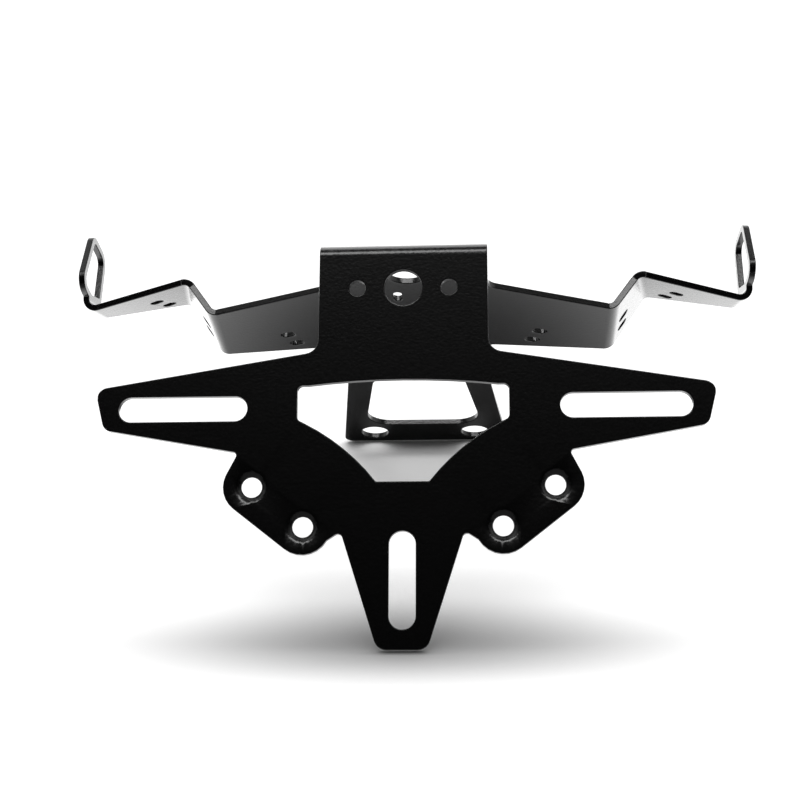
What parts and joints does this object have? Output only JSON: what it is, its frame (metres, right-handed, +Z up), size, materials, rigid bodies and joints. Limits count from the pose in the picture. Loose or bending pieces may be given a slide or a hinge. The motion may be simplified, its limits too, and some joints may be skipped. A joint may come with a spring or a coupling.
{
  "type": "tail tidy",
  "caption": "Folded steel tail tidy for a motorbike: winged number plate bracket, sloping rear sheet with a crossbar, and bent arms with upright eyes for indicators.",
  "frame": {"origin": "middle of the box round the part, on the ground that it stands on", "axes": "+X across the bike, +Y away from the number plate towards the crossbar, +Z up"},
  "size_m": [0.2126, 0.1656, 0.0945],
  "materials": {
    "powder_coat": "matt black powder coat with a fine texture"
  },
  "bodies": {
    "root": {"tail_tidy": "powder_coat"}
  },
  "joints": []
}
